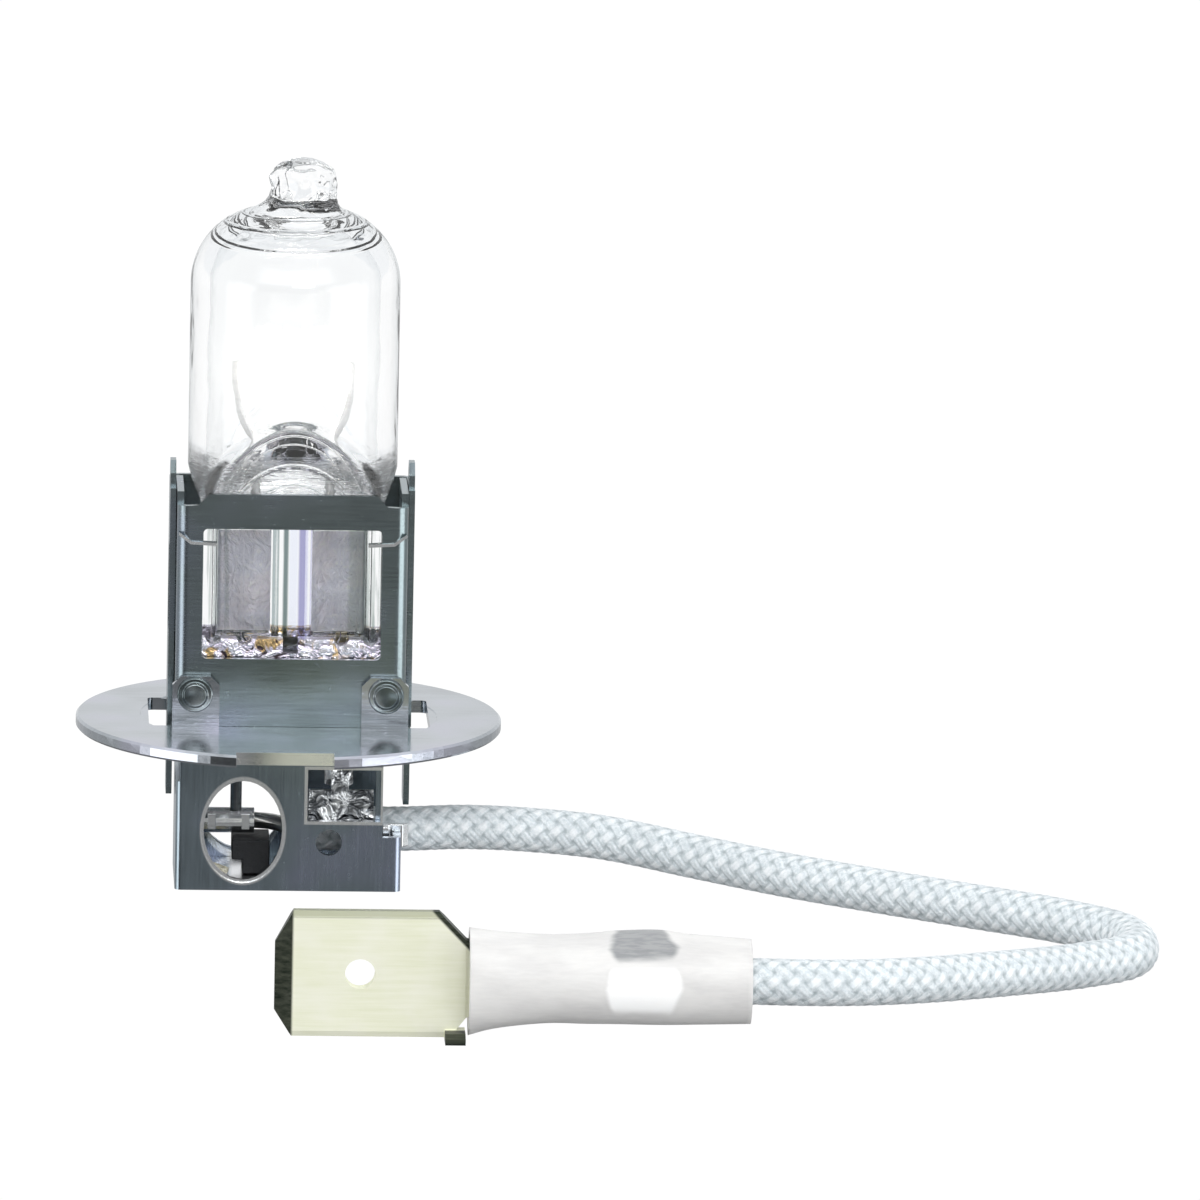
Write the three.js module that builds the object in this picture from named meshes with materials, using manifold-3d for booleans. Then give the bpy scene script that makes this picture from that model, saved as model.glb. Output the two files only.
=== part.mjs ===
// Single-filament halogen headlight bulb: disc flange, stamped holder, and a cord with a blade terminal.
// Millimetres, +Z up, front towards -Y. The bulb stands on its base; the cord lies on the same plane.
import * as THREE from 'three'
import { mergeVertices } from 'three/addons/utils/BufferGeometryUtils.js'
import Module from 'manifold-3d'

const wasm = await Module()
wasm.setup()

// ---- driving dimensions ----
const SEAT = 8.6 // height of the flange's upper face above the standing plane
const FLANGE_R = 11
const FLANGE_T = 0.65
const SHEET = 0.35 // holder sheet
const BASE_SHEET = 0.4
const TUBE_R = 5.4 // quartz tube, outside
const TUBE_WALL = 1.0
const LIGHT = SEAT + 18 // filament height
const PINCH_HALF_X = 4.62
const PINCH_HALF_Y = 1.5
const HOLDER_HALF_X = 5.95 // front holder, outside
const HOLDER_HALF_Y = 3.0
const REAR_HALF_X = 6.3 // rear holder, outside
const BASE_HALF_X = 5.83
const BASE_HALF_Y = 3.4
const BASE_TOP = SEAT - 0.7
const LEAD_X = 2.65 // outer leads
const INNER_LEAD_X = 1.9
const CORD_R = 1.175
const CORD_Z = 2.6 // cord's height where it leaves the base
const TERMINAL_Y = -37
const TERMINAL_Z = 3.2
const TAB_H = 6.3
const TAB_T = 0.8
const TAB_TIP = -1.45
const SLEEVE_MOUTH = 8.1

// Cord centreline, base end first: hand-chosen points, also used by the visual model.
const CORD_ROUTE = [
  [1.2, 0.0, 2.6],
  [5.9, 0.1, 2.6],
  [9.2, 0.7, 2.6],
  [12.6, 1.1, 2.4],
  [16.5, 1.0, 2.05],
  [21.2, -0.9, 1.5],
  [25.6, -3.9, 1.25],
  [30.0, -7.2, 1.2],
  [34.7, -10.7, 1.2],
  [39.4, -14.3, 1.2],
  [42.2, -17.8, 1.2],
  [42.2, -21.8, 1.2],
  [39.5, -25.2, 1.4],
  [35.0, -29.6, 1.9],
  [30.0, -34.1, 2.5],
  [26.0, -36.3, 2.85],
  [21.9, -37.0, 3.05],
  [17.5, -37.0, 3.15],
  [13.6, -37.0, 3.2],
]

// ---- solids ----
function solid(geometry) {
  const bare = geometry.clone()
  bare.deleteAttribute('normal')
  bare.deleteAttribute('uv')
  const merged = mergeVertices(bare, 1e-5)
  return new wasm.Manifold(new wasm.Mesh({
    numProp: 3,
    vertProperties: new Float32Array(merged.attributes.position.array),
    triVerts: new Uint32Array(merged.index.array),
  }))
}

function geometryOf(manifold) {
  const mesh = manifold.getMesh()
  const geometry = new THREE.BufferGeometry()
  geometry.setAttribute('position', new THREE.BufferAttribute(new Float32Array(mesh.vertProperties), 3))
  geometry.setIndex(new THREE.BufferAttribute(new Uint32Array(mesh.triVerts), 1))
  geometry.computeVertexNormals()
  return geometry
}

const join = (first, ...rest) => rest.reduce((sum, next) => sum.add(next), first)
const cut = (first, ...rest) => rest.reduce((sum, next) => sum.subtract(next), first)
const common = (first, ...rest) => rest.reduce((sum, next) => sum.intersect(next), first)

function box(x0, x1, y0, y1, z0, z1) {
  const geometry = new THREE.BoxGeometry(x1 - x0, y1 - y0, z1 - z0)
  geometry.translate((x0 + x1) / 2, (y0 + y1) / 2, (z0 + z1) / 2)
  return solid(geometry)
}

function outlineOf(points) {
  if (points instanceof THREE.Shape) return points
  return new THREE.Shape(points.map(([a, b]) => new THREE.Vector2(a, b)))
}

function extruded(outline, depth, basis, offset) {
  const settings = { depth, bevelEnabled: false, curveSegments: 10 }
  const geometry = new THREE.ExtrudeGeometry(outlineOf(outline), settings)
  geometry.applyMatrix4(new THREE.Matrix4().makeBasis(...basis))
  geometry.translate(...offset)
  return solid(geometry)
}

const X = new THREE.Vector3(1, 0, 0)
const Y = new THREE.Vector3(0, 1, 0)
const Z = new THREE.Vector3(0, 0, 1)
const NEGATIVE_Y = new THREE.Vector3(0, -1, 0)

// plate in plan, between two heights
const planPlate = (outline, z0, z1) => extruded(outline, z1 - z0, [X, Y, Z], [0, 0, z0])
// plate seen from the front, between two depths
const frontPlate = (outline, y0, y1) => extruded(outline, y1 - y0, [X, Z, NEGATIVE_Y], [0, y1, 0])
// plate seen from the side, between two widths
const sidePlate = (outline, x0, x1) => extruded(outline, x1 - x0, [Y, Z, X], [x0, 0, 0])

function roundedRectangle(a0, a1, b0, b1, r) {
  const shape = new THREE.Shape()
  shape.moveTo(a0 + r, b0)
  shape.lineTo(a1 - r, b0)
  shape.absarc(a1 - r, b0 + r, r, -Math.PI / 2, 0, false)
  shape.lineTo(a1, b1 - r)
  shape.absarc(a1 - r, b1 - r, r, 0, Math.PI / 2, false)
  shape.lineTo(a0 + r, b1)
  shape.absarc(a0 + r, b1 - r, r, Math.PI / 2, Math.PI, false)
  shape.lineTo(a0, b0 + r)
  shape.absarc(a0 + r, b0 + r, r, Math.PI, Math.PI * 1.5, false)
  return shape
}

function ellipseOutline(centreA, centreB, halfA, halfB, sides = 36) {
  return Array.from({ length: sides }, (_, i) => {
    const angle = (2 * Math.PI * i) / sides
    return [centreA + halfA * Math.cos(angle), centreB + halfB * Math.sin(angle)]
  })
}

// profile of [radius, height] pairs that starts and ends on the axis
function turned(profile, segments = 48) {
  const points = profile.map(([r, z]) => new THREE.Vector2(r, z))
  const geometry = new THREE.LatheGeometry(points, segments)
  geometry.rotateX(Math.PI / 2)
  return solid(geometry)
}

function roundBar(from, to, radius, sides = 16) {
  const start = new THREE.Vector3(...from)
  const span = new THREE.Vector3(...to).sub(start)
  const geometry = new THREE.CylinderGeometry(radius, radius, span.length(), sides)
  geometry.translate(0, span.length() / 2, 0)
  geometry.applyQuaternion(new THREE.Quaternion().setFromUnitVectors(Y, span.clone().normalize()))
  geometry.translate(start.x, start.y, start.z)
  return solid(geometry)
}

function wire(points, radius, sides, steps) {
  const path = new THREE.CatmullRomCurve3(points.map((p) => new THREE.Vector3(...p)))
  const circle = ellipseOutline(0, 0, radius, radius, sides)
  const shape = new THREE.Shape(circle.map(([a, b]) => new THREE.Vector2(a, b)))
  return solid(new THREE.ExtrudeGeometry(shape, { steps, extrudePath: path, bevelEnabled: false }))
}

// hollow sleeve along X: sections of [x, half depth, half height, centre height]
function sleeveAlongX(sections, wall, centreY, sides = 24) {
  const rings = [
    ...sections.map((s) => [...s, 0]),
    ...[...sections].reverse().map((s) => [...s, wall]),
  ]
  const positions = rings.flatMap(([x, halfY, halfZ, z, inset]) => (
    ellipseOutline(centreY, z, halfY - inset, halfZ - inset, sides).flatMap(([y, height]) => [x, y, height])
  ))
  const index = rings.flatMap((_, ring) => (
    Array.from({ length: sides }, (__, side) => {
      const next = (ring + 1) % rings.length
      const a = ring * sides + side
      const b = ring * sides + ((side + 1) % sides)
      const c = next * sides + side
      const d = next * sides + ((side + 1) % sides)
      return [a, b, c, b, d, c]
    }).flat()
  ))
  const geometry = new THREE.BufferGeometry()
  geometry.setAttribute('position', new THREE.BufferAttribute(new Float32Array(positions), 3))
  geometry.setIndex(index)
  return solid(geometry)
}

const mirrorOutline = (points) => points.map(([a, b]) => [-a, b]).reverse()

// ---- quartz ----
// seen from the side: full tube above, pressed flat below
function pressOutline(inset, foot) {
  const y = PINCH_HALF_Y - inset
  const half = [
    [y, foot],
    [y, SEAT + 10.6 + inset],
    [y + 0.35, SEAT + 11.3 + inset],
    [y + 3.9, SEAT + 16.1 + inset * 1.6],
    [y + 5.5, SEAT + 17.2 + inset * 1.6],
    [y + 5.5, SEAT + 40],
  ]
  return [...mirrorOutline(half).reverse(), ...[...half].reverse()].reverse()
}

// seen from the front: shoulders that draw the tube in to the pinch
function shoulderOutline(halfWidth, foot) {
  return [
    [-halfWidth, foot], [halfWidth, foot], [halfWidth, SEAT + 11.4], [TUBE_R + 1, SEAT + 13.2],
    [TUBE_R + 1, SEAT + 40], [-TUBE_R - 1, SEAT + 40], [-TUBE_R - 1, SEAT + 13.2], [-halfWidth, SEAT + 11.4],
  ]
}

function domeProfile(radius, top, corner, foot) {
  const profile = [[0, foot], [radius, foot]]
  const arc = 8
  for (let i = 0; i <= arc; i += 1) {
    const angle = (Math.PI / 2) * (i / arc)
    profile.push([radius - corner + corner * Math.cos(angle), top - 0.55 - corner + corner * Math.sin(angle)])
  }
  profile.push([0, top])
  return profile
}

function quartzEnvelope() {
  const foot = SEAT + 3.6
  const tube = turned(domeProfile(TUBE_R, SEAT + 27.1, 3.9, foot))
  const tip = turned([
    [0, SEAT + 25.8], [2.3, SEAT + 26.1], [2.05, SEAT + 26.8], [1.62, SEAT + 27.2], [1.72, SEAT + 27.9],
    [1.62, SEAT + 28.5], [1.1, SEAT + 29.0], [0, SEAT + 29.2],
  ], 32)
  const pressed = common(tube, sidePlate(pressOutline(0, foot), -7, 7))
  const outside = join(common(pressed, frontPlate(shoulderOutline(PINCH_HALF_X, foot), -7, 7)), tip)
  const bubble = turned([
    [0, SEAT + 11.9], [2.2, SEAT + 12.3], [3.9, SEAT + 13.6],
    ...domeProfile(TUBE_R - TUBE_WALL, SEAT + 25.7, 3.1, SEAT + 14.6).slice(1),
  ])
  const inside = common(bubble, sidePlate(pressOutline(0.75, SEAT + 11), -7, 7))
  const channels = [-1, 1].flatMap((side) => [
    roundBar([side * INNER_LEAD_X, 0, SEAT + 9.5], [side * INNER_LEAD_X, 0, SEAT + 14], 0.29, 12),
    box(side * 2.42 - 1.54, side * 2.42 + 1.54, -0.07, 0.07, SEAT + 4.46, SEAT + 9.83),
    roundBar([side * LEAD_X, 0, SEAT + 3], [side * LEAD_X, 0, SEAT + 4.5], 0.33, 12),
  ])
  const recesses = [-1, 1].flatMap((side) => [-1, 1].map((face) => {
    const middle = side * 2.42
    const outer = face * (PINCH_HALF_Y + 0.4)
    const inner = face * (PINCH_HALF_Y - 0.42)
    const half = [[inner, 4.5], [inner, 9.9], [outer, 10.7], [outer, 3.7]]
    const outline = half.map(([y, z]) => [y, SEAT + z])
    return sidePlate(face > 0 ? outline.reverse() : outline, middle - 1.55, middle + 1.55)
  }))
  const notch = box(-0.42, 0.36, -2, 2, foot - 1, foot + 0.75)
  return cut(outside, inside, ...channels, ...recesses, notch)
}

function foil(side) {
  const middle = side * 2.42
  return box(middle - 1.5, middle + 1.5, -0.04, 0.04, SEAT + 4.5, SEAT + 9.78)
}

function innerLead(side) {
  return wire([
    [side * INNER_LEAD_X, 0, SEAT + 9.85],
    [side * INNER_LEAD_X, 0, SEAT + 12.5],
    [side * 2.0, 0, SEAT + 14.2],
    [side * 2.75, 0, SEAT + 16.3],
    [side * 2.95, 0, SEAT + 18.6],
  ], 0.25, 10, 18)
}

function filamentCoil() {
  const turns = 8.5
  const perTurn = 12
  const length = 4.6
  const radius = 0.5
  const points = [[-length / 2 - 0.35, 0, LIGHT], [-length / 2 - 0.15, 0.15, LIGHT]]
  for (let i = 0; i <= turns * perTurn; i += 1) {
    const angle = (2 * Math.PI * i) / perTurn
    const x = -length / 2 + (length * i) / (turns * perTurn)
    points.push([x, radius * Math.cos(angle), LIGHT + radius * Math.sin(angle)])
  }
  points.push([length / 2 + 0.15, -0.15, LIGHT], [length / 2 + 0.35, 0, LIGHT])
  return wire(points, 0.13, 6, 150)
}

function outerLead(side, bottom) {
  return roundBar([side * LEAD_X, 0, bottom], [side * LEAD_X, 0, SEAT + 4.43], 0.3, 14)
}

// ---- holder ----
function frontHolder() {
  const top = SEAT + 12.1
  const foot = SEAT - 0.3
  const channel = planPlate(
    roundedRectangle(-HOLDER_HALF_X, HOLDER_HALF_X, -HOLDER_HALF_Y, 5, 0.65), foot, top)
  const hollow = planPlate(
    roundedRectangle(SHEET - HOLDER_HALF_X, HOLDER_HALF_X - SHEET, SHEET - HOLDER_HALF_Y, 6, 0.3),
    foot - 1, top + 1)
  const behind = box(-8, 8, 2.3, 8, foot - 1, top + 1)
  const window = frontPlate(roundedRectangle(-4.6, 4.6, SEAT + 3.5, SEAT + 10.3, 0.25), -4, -2)
  const corner = [[4.3, top + 0.02], [4.85, top - 0.58], [7, top - 0.7], [7, top + 1], [4.3, top + 1]]
  const corners = [corner, mirrorOutline(corner)].map((outline) => frontPlate(outline, -4, -2.2))
  const sideWindows = box(-8, 8, -1.2, 1.2, SEAT + 4.4, SEAT + 9.2)
  const lips = [-1, 1].map((side) => {
    const outline = [[3.9, 9.42], [5.25, 9.5], [5.85, 9.95], [5.85, 10.12], [5.2, 9.66], [3.9, 9.58]]
    const placed = outline.map(([x, z]) => [x, SEAT + z])
    return frontPlate(side > 0 ? placed : mirrorOutline(placed), -HOLDER_HALF_Y - 0.1, SHEET - HOLDER_HALF_Y)
  })
  return join(cut(channel, hollow, behind, window, sideWindows, ...corners), ...lips)
}

function rearHolder() {
  const top = SEAT + 12.1
  const foot = SEAT - 0.3
  const channel = planPlate(roundedRectangle(-REAR_HALF_X, REAR_HALF_X, -6, HOLDER_HALF_Y, 0.65), foot, top)
  const hollow = planPlate(
    roundedRectangle(0.3 - REAR_HALF_X, REAR_HALF_X - 0.3, -7, HOLDER_HALF_Y - SHEET, 0.3), foot - 1, top + 1)
  const ahead = box(-8, 8, -8, -1.4, foot - 1, top + 1)
  const window = frontPlate(roundedRectangle(-4.6, 4.6, SEAT + 3.5, SEAT + 10.3, 0.25), 2, 4)
  const sideWindows = box(-8, 8, -1.0, 1.0, SEAT + 4.6, SEAT + 9.0)
  const ears = [-1, 1].map((side) => {
    const outer = side * REAR_HALF_X
    const inner = side * (REAR_HALF_X - 0.3)
    const outline = [
      [-0.9, top - 0.2], [0.9, top - 0.2], [0.9, top + 0.7],
      [0.4, top + 1.3], [-0.4, top + 1.3], [-0.9, top + 0.7],
    ]
    return sidePlate(outline, Math.min(inner, outer), Math.max(inner, outer))
  })
  const legs = [[-1, 4.25], [1, 4.7]].map(([side, drop]) => {
    const outer = side * REAR_HALF_X
    const inner = side * (REAR_HALF_X - 0.3)
    const outline = [
      [-0.3, SEAT - drop + 0.3], [0, SEAT - drop], [1.9, SEAT - drop],
      [2.2, SEAT - drop + 0.3], [2.2, foot + 0.5], [-0.3, foot + 0.5],
    ]
    return sidePlate(outline, Math.min(inner, outer), Math.max(inner, outer))
  })
  return join(cut(channel, hollow, ahead, window, sideWindows), ...ears, ...legs)
}

function pinchBracket() {
  const [z0, z1] = [SEAT + 3.0, SEAT + 4.45]
  const ring = planPlate(roundedRectangle(-5.5, 5.5, -2.45, 2.2, 0.5), z0, z1)
  const opening = planPlate(roundedRectangle(-4.72, 4.72, -1.62, 1.62, 0.2), z0 - 1, z1 + 1)
  const scallops = [-4.0, -2.4, 2.6, 4.1].map((x) => (
    roundBar([x, -3, z1 + 0.1], [x, -1.2, z1 + 0.1], 0.42, 14)
  ))
  const eye = box(-0.42, 0.36, -3, -1.2, z1 - 0.75, z1 + 1)
  return cut(ring, opening, eye, ...scallops)
}

// ---- flange ----
function flange() {
  const top = SEAT
  const foot = SEAT - FLANGE_T
  const disc = turned([
    [0, foot], [FLANGE_R - 0.12, foot], [FLANGE_R, foot + 0.12],
    [FLANGE_R, top - 0.12], [FLANGE_R - 0.12, top], [7.7, top], [7.65, top - 0.05], [0, top - 0.05],
  ], 96)
  const frontNotch = box(-2.9, 2.1, -12, -9.8, foot - 1, top + 1)
  const middle = box(-6.1, 6.1, -3.05, 3.06, foot - 1, top + 1)
  const slots = [-1, 1].map((side) => (
    planPlate(
      roundedRectangle(side > 0 ? 5.8 : -7.25, side > 0 ? 7.25 : -5.8, -2.9, 4.0, 0.3), foot - 1, top + 1)
  ))
  const tabs = [-1, 1].map((side) => {
    const [near, far] = [3.66, 6.08]
    const outline = [
      [near, foot + 0.1], [far, foot + 0.1], [far, top + 2.2], [far - 0.45, top + 2.65],
      [near + 0.45, top + 2.65], [near, top + 2.2],
    ]
    return frontPlate(side > 0 ? outline : mirrorOutline(outline), -3.45, -3.05)
  })
  return join(cut(disc, frontNotch, middle, ...slots), ...tabs)
}

function weldNub(side) {
  const [x, z] = [side * 4.92, SEAT + 1.72]
  const cap = roundBar([x, -3.47, z], [x, -3.72, z], 0.92, 28)
  const crown = roundBar([x, -3.6, z], [x, -3.86, z], 0.62, 28)
  return join(cap, crown)
}

// ---- base ----
function baseShell() {
  const outer = planPlate(roundedRectangle(-BASE_HALF_X, BASE_HALF_X, -BASE_HALF_Y, 6, 0.35), 0, BASE_TOP)
  const inner = planPlate(
    roundedRectangle(BASE_SHEET - BASE_HALF_X, BASE_HALF_X - BASE_SHEET, BASE_SHEET - BASE_HALF_Y, 7, 0.1),
    BASE_SHEET, BASE_TOP + 1)
  const behind = box(-8, 8, 2.95, 8, -1, BASE_TOP + 1)
  const eye = frontPlate(ellipseOutline(-2.34, 3.14, 2.03, 2.6), -4, -2.8)
  const eyeBevel = frontPlate(ellipseOutline(-2.34, 3.14, 2.2, 2.76), -4, -BASE_HALF_Y + 0.14)
  const window = box(0.97, 4.75, -4, -2.8, SEAT - 4.92, SEAT - 2.2)
  const dimple = roundBar([2.1, -4, SEAT - 6.04], [2.1, -2.8, SEAT - 6.04], 0.68, 20)
  const stepRight = box(4.85, 8, -4, 8, SEAT - 5.75, BASE_TOP + 1)
  const stepLeft = box(-8, -5.62, -4, 8, SEAT - 2.9, BASE_TOP + 1)
  const cordPassage = roundBar([5, 0.05, CORD_Z], [7, 0.15, CORD_Z], CORD_R + 0.2, 20)
  const openTop = box(4.7, 8, -CORD_R - 0.2, CORD_R + 0.3, CORD_Z, SEAT - 5.7)
  const clampSlot = box(5.25, 8, -1.98, -1.2, 1.98, SEAT - 5.7)
  const returnLip = box(4.5, 4.85, -BASE_HALF_Y, -2.0, SEAT - 5.75, BASE_TOP)
  const body = join(cut(outer, inner, behind, stepRight, stepLeft), returnLip)
  return cut(body, eye, eyeBevel, window, dimple, cordPassage, openTop, clampSlot)
}

function baseBackPlate() {
  const plate = frontPlate([
    [-BASE_HALF_X + 0.1, 0.02], [BASE_HALF_X - 0.1, 0.02], [BASE_HALF_X - 0.1, SEAT - 5.75],
    [4.85, SEAT - 5.75], [4.85, BASE_TOP], [-5.5, BASE_TOP], [-5.5, SEAT - 2.9],
    [-BASE_HALF_X + 0.1, SEAT - 2.9],
  ], 3.0, BASE_HALF_Y)
  return cut(plate, frontPlate(ellipseOutline(-2.34, 3.6, 2.25, 2.75), 2.5, 4))
}

function spliceFerrule() {
  const body = roundBar([-4.35, 0, SEAT - 5.6], [-1.7, 0, SEAT - 5.6], 0.66, 20)
  const bore = roundBar([-3.0, 0, SEAT - 5.6], [-1, 0, SEAT - 5.6], 0.5, 16)
  const leadHole = roundBar([-LEAD_X, 0, SEAT - 5.6], [-LEAD_X, 0, SEAT - 4], 0.34, 14)
  const dents = [-3.9, -2.15].map((x) => box(x - 0.2, x + 0.2, -1, -0.52, SEAT - 6.4, SEAT - 4.8))
  return cut(body, bore, leadHole, ...dents)
}

function coreEndBase() {
  const route = [[1.15, 0, 2.6], [0.2, 0, 2.68], [-0.8, 0, 2.93], [-1.7, 0, 3.0], [-2.25, 0, 3.0]]
  return wire(route, 0.42, 10, 14)
}

function insulatorPad() {
  const pad = box(-2.85, -0.9, -1.5, 1.3, 0.46, 2.26)
  return cut(pad, box(-4, -2.3, -2, 2, 0.3, 1.2))
}

function braidTail() {
  const shape = [[-4.7, 0.46], [-2.95, 0.46], [-2.95, 0.8], [-3.5, 1.15], [-4.5, 1.5], [-4.8, 1.2]]
  return frontPlate(shape, -1.9, -0.7)
}

function groundStrap() {
  const plate = frontPlate([
    [1.05, SEAT - 5.2], [4.4, SEAT - 5.2], [4.4, SEAT - 3.45], [3.1, SEAT - 3.45], [3.1, SEAT - 2.0],
    [2.2, SEAT - 2.0], [2.2, SEAT - 3.45], [1.05, SEAT - 3.45],
  ], -2.6, -2.2)
  const barrel = roundBar([LEAD_X, 0, SEAT - 3.6], [LEAD_X, 0, SEAT - 1.2], 0.75, 20)
  const web = box(2.4, 2.9, -2.4, -0.5, SEAT - 3.4, SEAT - 2.3)
  const beads = [[1.75, 0.32], [3.75, 0.42]].map(([x, r]) => (
    roundBar([x, -2.8, SEAT - 3.95], [x, -2.3, SEAT - 3.95], r, 18)
  ))
  const leadHole = roundBar([LEAD_X, 0, SEAT - 3.2], [LEAD_X, 0, SEAT - 1], 0.34, 14)
  return cut(join(plate, barrel, web, ...beads), leadHole)
}

function cordClamp() {
  const [z0, z1] = [2.05, 3.25]
  const strap = planPlate([
    [4.9, -2.6], [5.2, -2.6], [5.2, -1.9], [5.95, -1.9], [6.25, -1.6], [6.25, -1.35], [4.9, -1.35],
  ], z0, z1)
  const pressed = box(5.3, 5.5, -2.5, -1.8, z0 - 1, z1 + 1)
  return cut(strap, pressed)
}

// ---- cord and terminal ----
function leadCord() {
  return wire(CORD_ROUTE, CORD_R, 10, 40)
}

function coreEndTerminal() {
  return roundBar([13.55, TERMINAL_Y, TERMINAL_Z], [9.7, TERMINAL_Y, TERMINAL_Z], 0.5, 14)
}

function spadeTerminal() {
  const z0 = TERMINAL_Z - TAB_H / 2 + 0.09
  const z1 = z0 + TAB_H
  const neck = 7.95
  const front = [
    [TAB_TIP, z0 + 1.3], [TAB_TIP + 0.85, z0], [7.2, z0], [neck, 1.1], [9.3, TERMINAL_Z - 1.3],
    [9.3, TERMINAL_Z + 1.3], [neck, z1 - 1.4], [6.6, z1], [TAB_TIP + 0.9, z1], [TAB_TIP, z1 - 1.6],
  ]
  const half = TAB_T / 2
  const plan = [
    [TAB_TIP, -0.15], [TAB_TIP + 0.85, -half], [neck, -half], [neck, 0.05 - half], [9.6, 0.05 - half],
    [9.6, half - 0.05], [neck, half - 0.05], [neck, half], [TAB_TIP + 0.85, half], [TAB_TIP, 0.15],
  ].map(([x, y]) => [x, TERMINAL_Y + y])
  const bevel = 0.28
  const side = [
    [-half, z0 + bevel], [-0.12, z0 - 0.5], [0.12, z0 - 0.5], [half, z0 + bevel],
    [half, z1 - bevel], [0.2, z1 + 0.05], [-0.2, z1 + 0.05], [-half, z1 - bevel],
  ].map(([y, z]) => [TERMINAL_Y + y, z])
  const blade = common(
    frontPlate(front, TERMINAL_Y - 1, TERMINAL_Y + 1),
    planPlate(plan, -1, 10),
    sidePlate(side, TAB_TIP - 1, 10))
  const wingFoot = 0.02
  const wing = sidePlate([
    [-1.75, wingFoot + 0.12], [-1.6, wingFoot], [0.2, wingFoot],
    [0.2, z0 + 0.4], [-1.3, z0 + 0.4], [-1.75, z0 + 0.2],
  ].map(([y, z]) => [TERMINAL_Y + y, z]), 6.95, neck)
  const alongX = (x0, x1, radius, sides) => (
    roundBar([x0, TERMINAL_Y, TERMINAL_Z], [x1, TERMINAL_Y, TERMINAL_Z], radius, sides)
  )
  const [eyeX, eyeZ] = [TAB_TIP + 4.2, TERMINAL_Z + 0.1]
  const eye = roundBar([eyeX, TERMINAL_Y - 1, eyeZ], [eyeX, TERMINAL_Y + 1, eyeZ], 0.75, 24)
  const coreBore = alongX(9.65, 13.2, 0.54, 14)
  const coreCrimp = cut(alongX(9.2, 12.6, 1.3, 20), coreBore)
  const cordBore = alongX(13, 19, CORD_R + 0.12, 20)
  const cordCrimp = cut(alongX(14.8, 18.1, 1.62, 24), cordBore)
  const bridge = cut(
    box(12, 15.2, TERMINAL_Y + 0.75, TERMINAL_Y + 1.5, TERMINAL_Z - 0.8, TERMINAL_Z + 0.8),
    alongX(12.8, 19, CORD_R + 0.12, 20), coreBore)
  return join(cut(blade, eye, coreBore), wing, coreCrimp, cordCrimp, bridge)
}

function terminalSleeve() {
  return sleeveAlongX([
    [SLEEVE_MOUTH, 1.75, 2.7, TERMINAL_Z - 0.29],
    [9.5, 1.85, 2.42, TERMINAL_Z - 0.19],
    [11.9, 2.1, 2.2, TERMINAL_Z - 0.12],
    [13.9, 2.2, 2.24, TERMINAL_Z - 0.09],
    [15.4, 2.25, 2.31, TERMINAL_Z - 0.02],
    [17.4, 2.25, 2.35, TERMINAL_Z],
    [18.9, 2.15, 2.25, TERMINAL_Z - 0.08],
    [SLEEVE_MOUTH + 13.9, 2.0, 2.1, TERMINAL_Z - 0.16],
  ], 0.42, TERMINAL_Y)
}

// ---- parts list: name, solid, colour, roughness, metalness ----
const part = new THREE.Group()
part.name = 'headlight_bulb'
const pieces = [
  ['quartz_envelope', quartzEnvelope(), 0xe4ebec, 0.05, 0],
  ['foil_left', foil(-1), 0xc2c5d2, 0.4, 0.9],
  ['foil_right', foil(1), 0xbdbfcd, 0.4, 0.9],
  ['inner_lead_left', innerLead(-1), 0x6d7478, 0.4, 1],
  ['inner_lead_right', innerLead(1), 0x6d7478, 0.4, 1],
  ['filament_coil', filamentCoil(), 0xfff6e0, 0.4, 0],
  ['outer_lead_left', outerLead(-1, SEAT - 5.2), 0x4a5052, 0.4, 1],
  ['outer_lead_right', outerLead(1, SEAT - 3.1), 0xa38f66, 0.35, 1],
  ['front_holder', frontHolder(), 0x4f5d60, 0.35, 1],
  ['rear_holder', rearHolder(), 0x4b595c, 0.4, 1],
  ['pinch_bracket', pinchBracket(), 0xb9a78f, 0.25, 1],
  ['flange', flange(), 0xb4b8be, 0.3, 1],
  ['weld_nub_left', weldNub(-1), 0x474e50, 0.35, 1],
  ['weld_nub_right', weldNub(1), 0x474e50, 0.35, 1],
  ['base_shell', baseShell(), 0x5a686c, 0.35, 1],
  ['base_back_plate', baseBackPlate(), 0x5a686c, 0.4, 1],
  ['splice_ferrule', spliceFerrule(), 0x9ba2a4, 0.3, 1],
  ['ground_strap', groundStrap(), 0xa9adac, 0.3, 1],
  ['insulator_pad', insulatorPad(), 0x16181a, 0.7, 0],
  ['braid_tail', braidTail(), 0xd2ccb4, 0.9, 0],
  ['cord_clamp', cordClamp(), 0xc4c8c8, 0.25, 1],
  ['core_end_base', coreEndBase(), 0xa5a9aa, 0.4, 1],
  ['lead_cord', leadCord(), 0xc6cbd0, 0.6, 0],
  ['core_end_terminal', coreEndTerminal(), 0xa5a9aa, 0.4, 1],
  ['spade_terminal', spadeTerminal(), 0xd4d5be, 0.3, 1],
  ['terminal_sleeve', terminalSleeve(), 0xd8d7d5, 0.45, 0],
]
for (const [name, manifold, color, roughness, metalness] of pieces) {
  const material = new THREE.MeshStandardMaterial({ color, roughness, metalness })
  const mesh = new THREE.Mesh(geometryOf(manifold), material)
  mesh.name = name
  part.add(mesh)
}

export default part
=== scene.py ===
"""Single-filament halogen headlight bulb with a braided cord and a sleeved blade terminal.

Metres, +Z up, front towards -Y. The helpers take millimetres and convert at the last step.
"""

import math
import random

import bpy
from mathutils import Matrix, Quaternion, Vector, noise


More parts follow.
